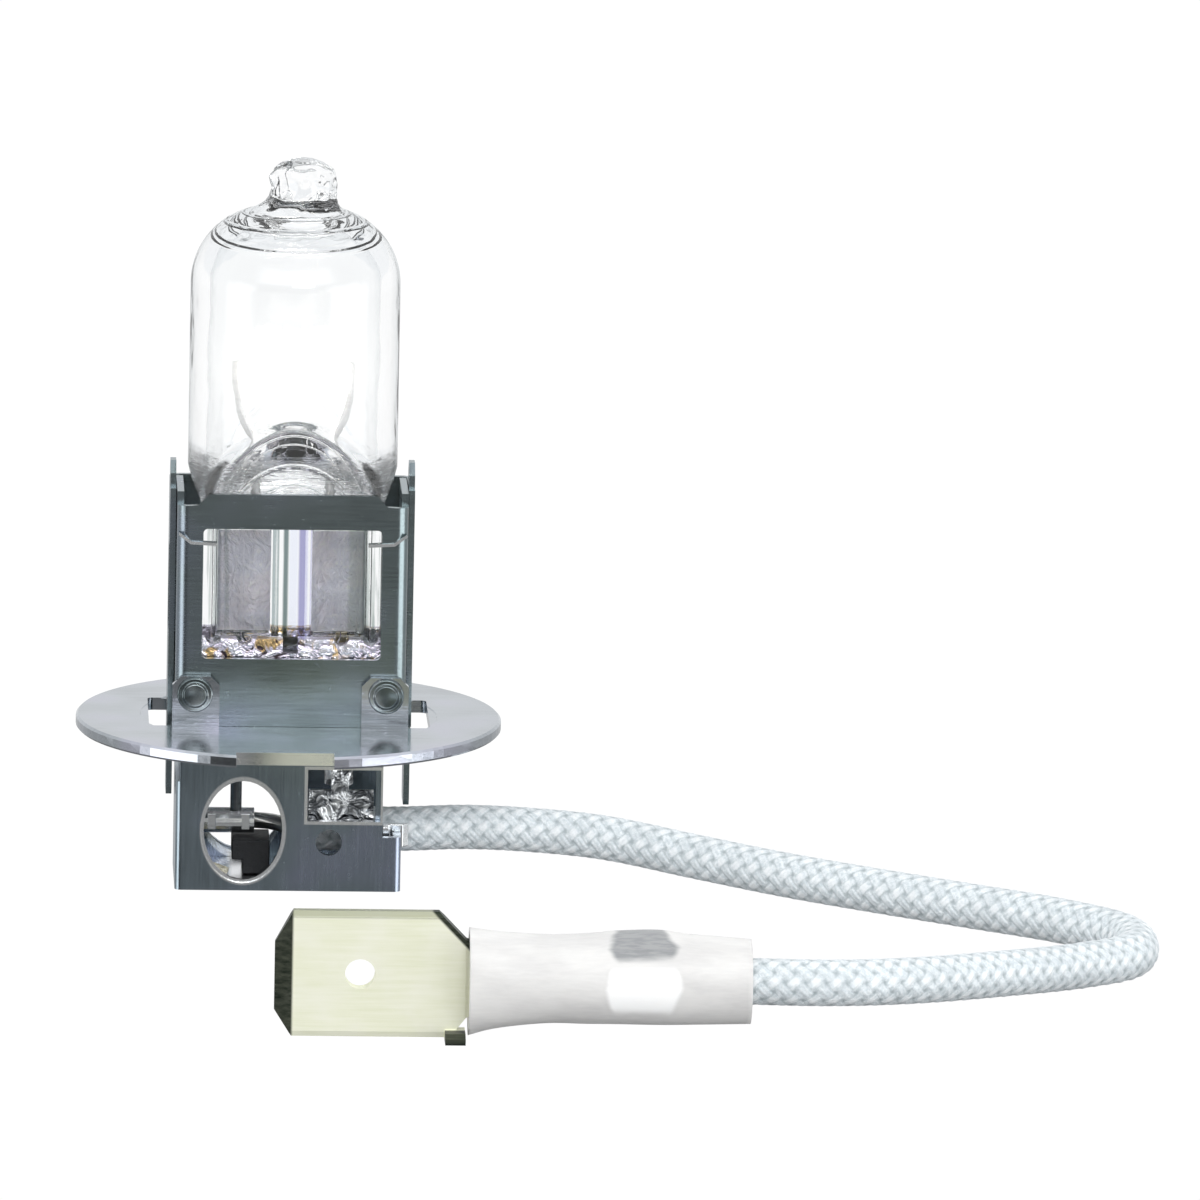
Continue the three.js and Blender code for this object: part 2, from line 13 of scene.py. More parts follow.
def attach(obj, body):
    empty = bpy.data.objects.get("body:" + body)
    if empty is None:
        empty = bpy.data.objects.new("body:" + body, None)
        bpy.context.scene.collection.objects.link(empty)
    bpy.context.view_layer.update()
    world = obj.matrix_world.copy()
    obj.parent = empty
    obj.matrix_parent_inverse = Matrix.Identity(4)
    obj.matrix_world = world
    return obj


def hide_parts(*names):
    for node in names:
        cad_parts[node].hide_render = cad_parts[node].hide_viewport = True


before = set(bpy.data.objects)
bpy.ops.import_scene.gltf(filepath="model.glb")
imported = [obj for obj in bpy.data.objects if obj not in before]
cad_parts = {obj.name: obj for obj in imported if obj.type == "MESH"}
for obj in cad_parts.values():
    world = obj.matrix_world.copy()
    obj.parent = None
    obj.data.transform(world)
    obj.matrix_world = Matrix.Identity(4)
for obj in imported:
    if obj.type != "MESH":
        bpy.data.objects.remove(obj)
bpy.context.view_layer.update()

MM = 0.001

# ---- driving dimensions, millimetres ----
SEAT = 8.6  # flange's upper face
PINCH_HALF_X = 4.62
CORD_R = 1.175
TERMINAL_Y = -37.0
TERMINAL_Z = 3.2
SLEEVE_MOUTH = 8.1
SLEEVE_END = SLEEVE_MOUTH + 13.9
SLEEVE_WALL = 0.42
TAB_TIP = -1.45
TAB_TOP = TERMINAL_Z + 3.24
CRIMP_X = 16.6  # middle of the crimp as it shows through the sleeve
DOME_FOOT = 22.65  # above the seat, where the tube turns into its dome
DOME_EDGE = 1.5  # distance of the dome arc's centre from the axis
DOME_OUTER = 3.9
DOME_INNER = 2.9
CAVITY_R = 4.4
EYE = (-2.34, 3.14)  # middle of the base's oval eye, X and Z
EYE_HALF = (2.03, 2.6)
WINDOW = (2.86, SEAT - 3.56)  # middle of the base's window, X and Z
WINDOW_HALF = (1.89, 1.36)
# Near-white for sheared edges: bare metal, painted brighter than bare steel as a painted highlight on the
# edges.
BARE_STEEL_AND_HIGHLIGHT = (0.9, 0.91, 0.92)
FILAMENT_LIGHT = 40.0

BUNDLES = 7  # braid bundles in each direction
BRAID_PITCH = 6.9  # length in which a bundle goes once round the cord
BRAID_RELIEF = 0.065  # share of the radius

CORD_ROUTE = [
    (1.2, 0.0, 2.6),
    (5.9, 0.1, 2.6),
    (9.2, 0.7, 2.6),
    (12.6, 1.1, 2.4),
    (16.5, 1.0, 2.05),
    (21.2, -0.9, 1.5),
    (25.6, -3.9, 1.25),
    (30.0, -7.2, 1.2),
    (34.7, -10.7, 1.2),
    (39.4, -14.3, 1.2),
    (42.2, -17.8, 1.2),
    (42.2, -21.8, 1.2),
    (39.5, -25.2, 1.4),
    (35.0, -29.6, 1.9),
    (30.0, -34.1, 2.5),
    (26.0, -36.3, 2.85),
    (21.9, -37.0, 3.05),
    (17.5, -37.0, 3.15),
    (13.6, -37.0, 3.2),
]


# ---- camera ----
CAMERA_AZIMUTH = -1.5
CAMERA_ELEVATION = 11.6
CAMERA_ROLL = 1.2
CAMERA_DISTANCE = 700
CAMERA_TARGET = (16.05, 0.83, 14.66)
CAMERA_LENS = 405.7


def add_camera():
    azimuth, elevation = math.radians(CAMERA_AZIMUTH), math.radians(CAMERA_ELEVATION)
    back = Vector((
        math.sin(azimuth) * math.cos(elevation),
        -math.cos(azimuth) * math.cos(elevation),
        math.sin(elevation),
    ))
    data = bpy.data.cameras.new("camera")
    data.lens = CAMERA_LENS
    data.sensor_width = 36
    data.clip_start, data.clip_end = 0.01, 20
    camera = bpy.data.objects.new("camera", data)
    bpy.context.scene.collection.objects.link(camera)
    camera.location = (Vector((0, 0, SEAT)) + back * CAMERA_DISTANCE) * MM
    look = Vector(CAMERA_TARGET) * MM - camera.location
    camera.rotation_mode = "QUATERNION"
    aim = look.to_track_quat("-Z", "Y")
    camera.rotation_quaternion = aim @ Quaternion((0, 0, 1), math.radians(CAMERA_ROLL))
    bpy.context.scene.camera = camera


# ---- shader nodes ----
class Socket:
    """A shader value with arithmetic; every operation adds one Math node."""

    def __init__(self, graph, socket):
        self.graph = graph
        self.socket = socket

    def math(self, operation, *others):
        node = self.graph.tree.nodes.new("ShaderNodeMath")
        node.operation = operation
        for slot, value in zip(node.inputs, (self, *others)):
            self.graph.feed(slot, value)
        return Socket(self.graph, node.outputs[0])

    def __add__(self, other):
        return self.math("ADD", other)

    __radd__ = __add__

    def __mul__(self, other):
        return self.math("MULTIPLY", other)

    __rmul__ = __mul__

    def __sub__(self, other):
        return self.math("SUBTRACT", other)

    def __rsub__(self, other):
        return (self * -1) + other

    def __neg__(self):
        return self * -1

    def size(self):
        return self.math("ABSOLUTE")

    def sine(self):
        return self.math("SINE")

    def larger(self, other):
        return self.math("MAXIMUM", other)

    def step(self, low, high):
        """0 at low, 1 at high, smooth between them; it falls when low is above high."""
        return self.graph.node(
            "ShaderNodeMapRange", {"interpolation_type": "SMOOTHSTEP"},
            {"Value": self, "From Min": low, "From Max": high},
        )

    def between(self, low, high, soft):
        """1 between low and high, 0 outside, with edges of twice the soft width."""
        return self.step(low - soft, low + soft) * self.step(high + soft, high - soft)


class Graph:
    """A node tree and the few ways in which this file adds nodes to it."""

    def __init__(self, tree):
        self.tree = tree
        tree.nodes.clear()

    def feed(self, slot, value):
        if isinstance(value, Socket):
            self.tree.links.new(value.socket, slot)
        else:
            slot.default_value = value

    def node(self, kind, settings=None, inputs=None, output=0):
        node = self.tree.nodes.new(kind)
        for key, value in (settings or {}).items():
            setattr(node, key, value)
        for key, value in (inputs or {}).items():
            self.feed(node.inputs[key], value)
        return Socket(self, node.outputs[output])

    def parts(self, vector):
        node = self.tree.nodes.new("ShaderNodeSeparateXYZ")
        self.feed(node.inputs[0], vector)
        return [Socket(self, out) for out in node.outputs]

    def mix(self, factor, first, second):
        node = self.tree.nodes.new("ShaderNodeMix")
        node.data_type = "RGBA"
        self.feed(node.inputs[0], factor)
        self.feed(node.inputs[6], first if isinstance(first, Socket) else (*first, 1))
        self.feed(node.inputs[7], second if isinstance(second, Socket) else (*second, 1))
        return Socket(self, node.outputs[2])


class Look(Graph):
    """One material. Its coordinates are in millimetres in the bulb's frame."""

    def __init__(self, name):
        self.material = bpy.data.materials.new(name)
        self.material.use_nodes = True
        super().__init__(self.material.node_tree)
        output = self.tree.nodes.new("ShaderNodeOutputMaterial")
        self.shader = self.tree.nodes.new("ShaderNodeBsdfPrincipled")
        self.tree.links.new(self.shader.outputs[0], output.inputs["Surface"])

    def set(self, **values):
        for key, value in values.items():
            self.feed(self.shader.inputs[key.replace("_", " ")], value)
        return self

    def place(self):
        where = self.node("ShaderNodeTexCoord", output="Object")
        return self.node("ShaderNodeVectorMath", {"operation": "SCALE"}, {"Vector": where, "Scale": 1 / MM})

    def uv(self):
        return self.parts(self.node("ShaderNodeTexCoord", output="UV"))

    def stretched(self, x, y, z):
        return self.node(
            "ShaderNodeVectorMath", {"operation": "MULTIPLY"}, {0: self.place(), 1: (x, y, z)})

    def noise(self, vector, scale=1.0, detail=3.0, roughness=0.5, distortion=0.0):
        return self.node(
            "ShaderNodeTexNoise", None,
            {"Vector": vector, "Scale": scale, "Detail": detail, "Roughness": roughness,
             "Distortion": distortion},
        )

    def bump(self, height, distance):
        """Relief: distance is what one unit of height stands for, in mm."""
        normal = self.node("ShaderNodeBump", None, {"Height": height, "Distance": distance * MM})
        return self.set(Normal=normal)


def shades(colour, dark, light):
    return tuple(c * dark for c in colour), tuple(min(1.0, c * light) for c in colour)


def satin_steel(
        name, colour, streak_axis, roughness, tint, bare_edges_and_highlight=None, tint_share=0.3, scuff_share=0.1):
    """Drawn or stamped sheet: streaks along one axis, soft clouds, a tint in patches and fine scuffs.

    The edge mask, when given, takes x, y, z and returns a mask of freshly sheared, untinted metal; there
    the colour is near-white, which is bare metal and also a painted highlight along those edges.
    """
    look = Look(name)
    stretch = [9.0, 9.0, 9.0]
    stretch[streak_axis] = 0.35
    streaks = look.noise(look.stretched(*stretch), 1.0, 4.0, 0.6)
    clouds = look.noise(look.place(), 0.22, 2.0)
    scuffs = look.noise(look.place(), 2.6, 6.0, 0.7, 0.6).step(0.6, 0.74)
    level = streaks * 0.35 + clouds * 0.5
    dark, light = shades(colour, 0.35, 2.1)
    shade = look.mix(level.step(0.0, 0.5), dark, colour)
    shade = look.mix(level.step(0.5, 1.0), shade, light)
    shade = look.mix(clouds.step(0.45, 0.7) * tint_share, shade, tint)
    shade = look.mix(scuffs * scuff_share, shade, light)
    # Sheared edges: bare metal with a painted highlight.
    if bare_edges_and_highlight:
        shade = look.mix(bare_edges_and_highlight(*look.parts(look.place())), shade, BARE_STEEL_AND_HIGHLIGHT)
    look.set(
        Base_Color=shade,
        Metallic=1.0,
        Roughness=(clouds - 0.5) * 0.2 + (streaks - 0.5) * 0.15 + scuffs * 0.05 + roughness,
    )
    look.bump(streaks * 0.6 + scuffs * 0.4, 0.004)
    return look


def quartz_glass():
    """Clear quartz, with a painted shade where it is seen edge on, and darker streaks and upright bands of
    colour in the pinch.
    """
    look = Look("quartz")
    x, y, z = look.parts(look.place())
    # Painted shade: the glass is tinted darker where it is seen edge on.
    facing = look.node("ShaderNodeLayerWeight", None, {"Blend": 0.5}, output="Facing")
    body = look.mix(facing.step(0.55, 1.0), (0.955, 0.963, 0.968), (0.46, 0.51, 0.53))
    height = z - SEAT
    radius = (x * x + y * y).math("SQRT")
    ring = (radius - 3.65).size().step(0.13, 0.03).larger((radius - 2.75).size().step(0.1, 0.02))
    on_dome = height.step(25.0, 25.4) * height.step(26.7, 26.5)
    body = look.mix(ring * on_dome * 0.6, body, (0.4, 0.44, 0.46))
    pinch = height.step(10.9, 10.2)
    # Darker upright streaks in the pinch, towards its sides.
    pinch_streaks = look.noise(look.stretched(2.6, 0.2, 0.12), 1.0, 3.0, 0.6)
    body = look.mix(pinch * pinch_streaks.step(0.5, 0.6) * x.size().step(2.6, 3.6) * 0.8, body, (0.3, 0.37, 0.35))
    # Upright bands across the pinch, each given by its x range, soft edge and colour.
    for low, high, soft, colour in (
        (-0.4, -0.16, 0.04, (0.2, 0.26, 0.26)),
        (-0.1, 0.34, 0.04, (0.84, 0.87, 0.95)),
        (0.4, 0.82, 0.05, (0.38, 0.38, 0.6)),
        (2.95, 3.85, 0.12, (0.62, 0.68, 0.62)),
        (3.68, 3.92, 0.05, (0.22, 0.27, 0.26)),
        (-3.98, -3.66, 0.08, (0.45, 0.5, 0.5)),
    ):
        body = look.mix(pinch * x.between(low, high, soft), body, colour)
    # A near-black patch low in the front of the pinch.
    near_black_patch = x.between(-0.44, 0.36, 0.03) * height.between(3.3, 4.42, 0.04) * y.step(-1.0, -1.3)
    body = look.mix(near_black_patch, body, (0.01, 0.012, 0.012))
    swirls = look.noise(look.stretched(0.5, 0.5, 0.25), 1.0, 2.0)
    creases = look.noise(look.stretched(0.35, 0.35, 3.4), 1.0, 3.0, 0.6, 0.6)
    pressed = height.between(11.0, 13.8, 0.9)
    look.set(Base_Color=body, Roughness=pressed * 0.1, IOR=1.458, Transmission_Weight=1.0)
    look.bump(swirls * 0.35 + creases * pressed * 1.6 + ring * 0.5, 0.14)
    return look.material


def wrinkled_foil():
    look = Look("foil")
    folds = look.noise(look.stretched(1.1, 1.0, 0.7), 1.0, 4.0, 0.6, 2.2)
    fine = look.noise(look.place(), 4.5, 4.0, 0.6, 0.8)
    hue = look.noise(look.place(), 0.5, 2.0)
    colour = look.mix(hue.step(0.42, 0.6), (0.9, 0.9, 0.99), (0.94, 0.9, 0.96))
    # Painted shade: the colour darkens where the folds are low.
    colour = look.mix(folds.step(0.58, 0.42) * 0.25, colour, (0.66, 0.66, 0.8))
    look.set(
        # Painted glints: the colour goes towards white on the fine grain's high spots.
        Base_Color=look.mix(fine.step(0.5, 0.7) * 0.7, colour, (1.0, 1.0, 1.0)),
        Metallic=0.1,
        Roughness=0.25 + fine * 0.2,
    )
    look.bump(folds + fine * 0.2, 0.4)
    return look.material


def holder_steel():
    def edges(_x, y, z):
        # Front faces of the lips under the top band: bare metal with a painted highlight.
        return y.step(-3.02, -3.06) * (z - SEAT).between(9.3, 10.3, 0.05)

    return satin_steel("holder_steel", (0.24, 0.29, 0.3), 0, 0.24, (0.24, 0.25, 0.36), edges).material


def base_steel():
    """Folded base with sheared, bare metal round its oval eye and its window, painted near-white there as a
    painted highlight on the bevelled rims too.
    """
    def edges(x, y, z):
        across = (x - EYE[0]) * (1 / EYE_HALF[0])
        up = (z - EYE[1]) * (1 / EYE_HALF[1])
        # Rings round the eye and the window: bare metal with a painted highlight on the bevels.
        rim = (across * across + up * up).between(0.9, 1.2, 0.05)
        beside = (x - WINDOW[0]).size() - WINDOW_HALF[0]
        above = (z - WINDOW[1]).size() - WINDOW_HALF[1]
        frame_edge = beside.larger(above).between(-0.1, 0.17, 0.03)
        return rim.larger(y.step(-2.9, -3.1) * frame_edge)

    return satin_steel("base_steel", (0.3, 0.36, 0.4), 2, 0.24, (0.34, 0.33, 0.5), edges, 0.35).material


def flange_steel():
    def edges(x, y, _z):
        # Front edge of the notch: bare metal with a painted highlight.
        return y.step(-9.7, -9.78) * x.between(-2.9, 2.1, 0.05)

    return satin_steel("flange_steel", (0.44, 0.47, 0.5), 0, 0.13, (0.5, 0.47, 0.6), edges, 0.35).material


def nub_steel():
    """Squeezed weld metal: dark and glossy, with shallow humps; the colour is lighter on the humps and
    darker in the hollows, a painted highlight and painted shade.
    """
    look = Look("nub_steel")
    humps = look.noise(look.place(), 0.75, 1.0)
    look.set(
        # Painted highlight on the humps and painted shade in the hollows: the colour follows the bump.
        Base_Color=look.mix(humps.step(0.4, 0.65), (0.12, 0.145, 0.15), (0.34, 0.37, 0.38)),
        Metallic=1.0,
        Roughness=0.14 + humps * 0.15,
    )
    look.bump(humps, 0.12)
    return look.material


def bright_metal():
    return satin_steel("bright_metal", (0.9, 0.92, 0.93), 0, 0.18, (0.8, 0.78, 0.74), None, 0.2).material


def pressed_lug():
    """Earth strap: crumpled bright metal, near-black in its hollows as painted shade and near-white on its
    lumps as painted highlight.
    """
    look = Look("pressed_lug")
    lumps = look.noise(look.place(), 1.2, 3.0, 0.55, 0.8)
    look.set(
        # Painted shade in the hollows and painted highlight on the lumps: the colour follows the bump.
        Base_Color=look.mix(lumps.step(0.44, 0.56), (0.16, 0.17, 0.18), (0.88, 0.9, 0.91)),
        Metallic=1.0,
        Roughness=0.2 + lumps * 0.2,
    )
    look.bump(lumps, 0.5)
    return look.material


def tinted_steel():
    """Bracket round the pinch's foot: bright, faintly lilac, with small straw and brown heat marks."""
    look = Look("tinted_steel")
    cells = look.noise(look.place(), 1.3, 4.0, 0.6, 1.0)
    marks = look.noise(look.stretched(0.9, 0.5, 0.7), 1.0, 2.0, 0.5, 0.6)
    warm = look.mix(marks.step(0.52, 0.6), (0.72, 0.67, 0.78), (0.62, 0.44, 0.22))
    colour = look.mix(cells.step(0.5, 0.62), warm, (0.9, 0.88, 0.95))
    look.set(
        Base_Color=look.mix(cells.step(0.42, 0.38), colour, (0.07, 0.05, 0.06)),
        Metallic=1.0,
        Roughness=0.14 + cells * 0.15,
    )
    look.bump(cells, 0.25)
    return look.material


def drawn_wire(name, colour):
    look = Look(name)
    rings = look.noise(look.stretched(0.6, 0.6, 6.0), 1.0, 3.0)
    look.set(
        Base_Color=look.mix(rings, tuple(c * 0.6 for c in colour), colour),
        Metallic=1.0,
        Roughness=0.3 + rings * 0.2,
    )
    look.bump(rings, 0.02)
    return look.material


def glowing_wire():
    look = Look("filament")
    grain = look.noise(look.place(), 6.0, 2.0)
    look.set(
        Base_Color=look.mix(grain, (0.9, 0.86, 0.75), (1.0, 0.97, 0.9)),
        Roughness=0.5,
        Emission_Color=(1.0, 0.97, 0.9, 1),
        Emission_Strength=FILAMENT_LIGHT,
    )
    return look.material


def braid_material():
    """Glass-fibre bundles that cross over and under; u runs round the cord and v along it."""
    look = Look("glass_braid")
    u, v, _ = look.uv()
    first = (u + v) * (BUNDLES * math.pi)
    second = (u - v) * (BUNDLES * math.pi)
    over = first.sine() * second.sine()
    up = (first.sine().size() * (0.62 + over * 0.38)).larger(second.sine().size() * (0.62 - over * 0.38))
    yarns = (first * 6.0).sine() * over.step(-0.2, 0.2) + (second * 6.0).sine() * over.step(0.2, -0.2)
    fuzz = look.noise(look.place(), 5.0, 5.0, 0.7)
    patches = look.noise(look.place(), 0.45, 2.0)
    height = up + yarns * 0.05 + fuzz * 0.3
    silver = look.mix(fuzz.step(0.35, 0.65), (0.58, 0.64, 0.67), (0.8, 0.84, 0.86))
    silver = look.mix(patches.step(0.4, 0.65) * 0.3, silver, (0.5, 0.54, 0.56))
    # Painted highlight: whiter where the bundles cross.
    silver = look.mix(over.step(0.3, 0.85) * 0.35, silver, (1.0, 1.0, 1.0))
    # Painted shade in the gaps: the colour darkens where the braid's height is low.
    look.set(
        Base_Color=look.mix(height.step(0.1, 0.85), (0.34, 0.39, 0.41), silver),
        Roughness=0.42 + fuzz * 0.25,
        Sheen_Weight=0.15,
        Sheen_Roughness=0.4,
        Specular_IOR_Level=0.6,
    )
    look.bump(yarns * 0.12 + fuzz * 0.5, 0.07)
    return look.material


def milky_plastic():
    """Soft translucent tube; the crimp under it shows as a grey patch above, and a pale block lies over it
    at mid height.
    """
    look = Look("milky_sleeve")
    x, _, z = look.parts(look.place())
    clouds = look.noise(look.stretched(0.25, 0.7, 0.7), 1.0, 3.0)
    grain = look.noise(look.stretched(0.6, 3.0, 3.0), 2.0, 3.0)
    wobble = (clouds - 0.5) * 0.6
    height = z + wobble
    across = (x - CRIMP_X).size() + wobble
    crimp = (across + (height - 3.1).size() * 0.35).step(2.1, 1.75)
    patch = (across + (height - 4.9).size() * 0.6).step(1.85, 1.45) * height.step(4.3, 4.65)
    colour = look.mix(clouds.step(0.35, 0.65), (0.62, 0.61, 0.6), (0.7, 0.69, 0.675))
    colour = look.mix(patch * 0.85, colour, (0.2, 0.21, 0.22))
    # A near-white block over the crimp at mid height, raised a little by the bump too.
    block = crimp * height.between(1.8, 4.0, 0.25)
    colour = look.mix(block, colour, (0.98, 0.975, 0.96))
    colour = look.mix(grain.step(0.35, 0.65) * 0.12, colour, (0.9, 0.88, 0.86))
    look.set(
        Base_Color=colour,
        Roughness=0.36 + grain * 0.14,
        IOR=1.45,
        Subsurface_Weight=0.25,
        Subsurface_Radius=(1.0, 0.95, 0.9),
        Subsurface_Scale=0.0006,
    )
    look.bump(grain * 0.2 + block * 0.8, 0.05)
    return look.material


def plated_brass():
    """Olive-yellow satin plating, painted near-black on the stamped bevels and on the curled wing as a
    painted dark reflection, and darker along its top edge as painted shade.
    """
    look = Look("tinned_brass")
    x, y, z = look.parts(look.place())
    streaks = look.noise(look.stretched(0.25, 5.0, 5.0), 1.0, 5.0, 0.6)
    clouds = look.noise(look.place(), 0.35, 3.0)
    pits = look.noise(look.place(), 4.0, 3.0, 0.7)
    colour = look.mix(streaks.step(0.2, 0.8), (0.86, 0.87, 0.65), (0.95, 0.95, 0.78))
    colour = look.mix(clouds.step(0.4, 0.7) * 0.5, colour, (0.97, 0.96, 0.84))
    shoulder = (x - 6.6) * 0.72 + (z - TAB_TOP) * 0.69
    wing = x.step(6.85, 6.95) * x.step(SLEEVE_MOUTH + 0.1, SLEEVE_MOUTH)
    wing = wing * (y - TERMINAL_Y).step(-0.45, -0.6)
    # Painted dark reflection: near-black on the stamped bevels and on the curled wing.
    bevels = x.step(TAB_TIP + 0.95, TAB_TIP + 0.8).larger(shoulder.step(-0.3, -0.16)).larger(wing)
    # Painted shade: a dark band along the top edge.
    top_edge_shade = z.step(TAB_TOP - 0.4, TAB_TOP - 0.22) * x.step(9.0, 8.5)
    colour = look.mix(top_edge_shade * 0.75, colour, (0.12, 0.13, 0.08))
    look.set(
        Base_Color=look.mix(bevels * (0.86 + streaks * 0.2), colour, (0.008, 0.014, 0.008)),
        Metallic=0.4,
        Specular_IOR_Level=0.12,
        Roughness=0.34 + streaks * 0.12 + pits.step(0.55, 0.75) * 0.1,
    )
    look.bump(streaks * 0.7 + pits * 0.3, 0.008)
    return look.material


def cream_fibre():
    look = Look("cream_fibre")
    strands = look.noise(look.stretched(0.8, 7.0, 7.0), 1.0, 4.0, 0.65, 0.5)
    look.set(
        Base_Color=look.mix(strands.step(0.35, 0.65), (0.5, 0.46, 0.32), (0.92, 0.89, 0.76)),
        Roughness=0.75,
        Sheen_Weight=0.3,
    )
    look.bump(strands, 0.05)
    return look.material


def black_pad():
    look = Look("black_pad")
    grain = look.noise(look.place(), 5.0, 4.0, 0.7)
    look.set(
        Base_Color=look.mix(grain, (0.004, 0.005, 0.006), (0.02, 0.022, 0.026)),
        Roughness=0.5 + grain * 0.3,
    )
    look.bump(grain, 0.05)
    return look.material


def stranded_metal():
    look = Look("stranded_core")
    x, y, z = look.parts(look.place())
    twist = (x * 3.0 + z * 9.0 + y * 9.0).sine() * 0.5 + 0.5
    look.set(
        Base_Color=look.mix(twist, (0.22, 0.23, 0.23), (0.62, 0.62, 0.6)),
        Metallic=1.0,
        Roughness=0.3 + twist * 0.1,
    )
    look.bump(twist, 0.08)
    return look.material


def floor_material():
    look = Look("studio_floor")
    look.set(Base_Color=(0, 0, 0, 1), Roughness=1.0, Specular_IOR_Level=0.0)
    look.set(Emission_Color=(1, 1, 1, 1), Emission_Strength=1.02)
    return look.material


# ---- mesh helpers ----
def new_piece(name, vertices, faces, material, smooth=True):
    """Mesh object from millimetre vertices that rides on the bulb's one body."""
    mesh = bpy.data.meshes.new(name)
    mesh.from_pydata([tuple(c * MM for c in v) for v in vertices], [], faces)
    mesh.update()
    piece = bpy.data.objects.new(name, mesh)
    bpy.context.scene.collection.objects.link(piece)
    mesh.materials.append(material)
    mesh.polygons.foreach_set("use_smooth", [smooth] * len(mesh.polygons))
    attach(piece, "root")
    return piece


def grid_faces(rows, columns, first=0):
    """Quads of rows of points, each row closed on itself."""
    faces = []
    for row in range(rows - 1):
        for column in range(columns):
            a = first + row * columns + column
            b = first + row * columns + (column + 1) % columns
            faces.append((a, b, b + columns, a + columns))
    return faces


def cap(row, columns, up, first=0):
    loop = [first + row * columns + column for column in range(columns)]
    return tuple(loop if up else reversed(loop))


def catmull_rom(points, per_span):
    """Smooth line through the points, as three.js draws it (centripetal)."""
    points = [Vector(p) for p in points]
    ends = [points[0] * 2 - points[1], *points, points[-1] * 2 - points[-2]]
    line = []
    for i in range(len(points) - 1):
        p0, p1, p2, p3 = ends[i:i + 4]
        t1 = (p1 - p0).length ** 0.5
        t2 = t1 + (p2 - p1).length ** 0.5
        t3 = t2 + (p3 - p2).length ** 0.5
        for step in range(per_span):
            t = t1 + (t2 - t1) * step / per_span
            a1 = p0 * ((t1 - t) / t1) + p1 * (t / t1)
            a2 = p1 * ((t2 - t) / (t2 - t1)) + p2 * ((t - t1) / (t2 - t1))
            a3 = p2 * ((t3 - t) / (t3 - t2)) + p3 * ((t - t2) / (t3 - t2))
            b1 = a1 * ((t2 - t) / t2) + a2 * (t / t2)
            b2 = a2 * ((t3 - t) / (t3 - t1)) + a3 * ((t - t1) / (t3 - t1))
            line.append(b1 * ((t2 - t) / (t2 - t1)) + b2 * ((t - t1) / (t2 - t1)))
    line.append(points[-1])
    return line


def evenly(line, spacing):
    """The same line with points a fixed distance apart, and its length."""
    gone = [0.0]
    for a, b in zip(line, line[1:]):
        gone.append(gone[-1] + (b - a).length)
    count = max(2, round(gone[-1] / spacing))
    points, at = [], 0
    for i in range(count + 1):
        want = gone[-1] * i / count
        while at < len(gone) - 2 and gone[at + 1] < want:
            at += 1
        share = (want - gone[at]) / max(gone[at + 1] - gone[at], 1e-9)
        points.append(line[at].lerp(line[at + 1], share))
    return points, gone[-1]


def frames_along(line):
    """Two unit vectors across the line at each point, turning as little as possible."""
    across = Vector((0, 0, 1))
    result = []
    for i in range(len(line)):
        ahead = (line[min(i + 1, len(line) - 1)] - line[max(i - 1, 0)]).normalized()
        across = (across - ahead * across.dot(ahead)).normalized()
        result.append((across, ahead.cross(across)))
    return result


# ---- pieces ----
def braid_height(u, v):
    """Height of the braid's surface, 0 to 1, at a share u of the way round and v of a pitch along."""
    first = math.sin((u + v) * BUNDLES * math.pi)
    second = math.sin((u - v) * BUNDLES * math.pi)
    over = first * second
    return max(abs(first) * (0.62 + over * 0.38), abs(second) * (0.62 - over * 0.38))


def braided_cord():
    sides, spacing = 84, 0.11
    line, length = evenly(catmull_rom(CORD_ROUTE, 24), spacing)
    across = frames_along(line)
    vertices, uvs = [], []
    for i, (point, (a, b)) in enumerate(zip(line, across)):
        along = i * length / (len(line) - 1) / BRAID_PITCH
        for side in range(sides + 1):
            u = side / sides
            angle = 2 * math.pi * u
            radius = CORD_R * (1 - BRAID_RELIEF * (1 - braid_height(u, along)))
            if side < sides:
                vertices.append(point + (a * math.cos(angle) + b * math.sin(angle)) * radius)
            uvs.append((u, along))
    faces = grid_faces(len(line), sides)
    faces += [cap(0, sides, False), cap(len(line) - 1, sides, True)]
    piece = new_piece("braided_cord", vertices, faces, braid_material())
    layer = piece.data.uv_layers.new(name="UVMap")
    for polygon in piece.data.polygons:
        if len(polygon.loop_indices) != 4:
            continue
        row, side = divmod(polygon.vertices[0], sides)
        corners = ((row, side), (row, side + 1), (row + 1, side + 1), (row + 1, side))
        for loop, (r, c) in zip(polygon.loop_indices, corners):
            layer.data[loop].uv = uvs[r * (sides + 1) + c]
    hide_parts("lead_cord")
    length * MM
    [[c * MM for c in point] for point in line[::6] + [line[-1]]]
    terminal_sleeve()
    return piece


def terminal_sleeve():
    sections = [
        (SLEEVE_MOUTH, 1.75, 2.7, -0.29),
        (9.5, 1.85, 2.42, -0.19),
        (11.9, 2.1, 2.2, -0.12),
        (13.9, 2.2, 2.24, -0.09),
        (15.4, 2.25, 2.31, -0.02),
        (17.4, 2.25, 2.35, 0.0),
        (18.9, 2.15, 2.25, -0.08),
        (SLEEVE_END, 2.0, 2.1, -0.16),
    ]
    sides = 64
    smooth = catmull_rom4(sections, 8)
    rings = [(*s, 0.0) for s in smooth] + [(*s, SLEEVE_WALL) for s in reversed(smooth)]
    vertices = []
    for x, half_y, half_z, lift, inset in rings:
        for side in range(sides):
            angle = 2 * math.pi * side / sides
            vertices.append((
                x,
                TERMINAL_Y + (half_y - inset) * math.cos(angle),
                TERMINAL_Z + lift + (half_z - inset) * math.sin(angle),
            ))
    faces = grid_faces(len(rings), sides)
    last = (len(rings) - 1) * sides
    faces += [
        (last + s, last + (s + 1) % sides, (s + 1) % sides, s) for s in range(sides)
    ]
    piece = new_piece("sleeve", vertices, faces, milky_plastic())
    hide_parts("terminal_sleeve")
    return piece


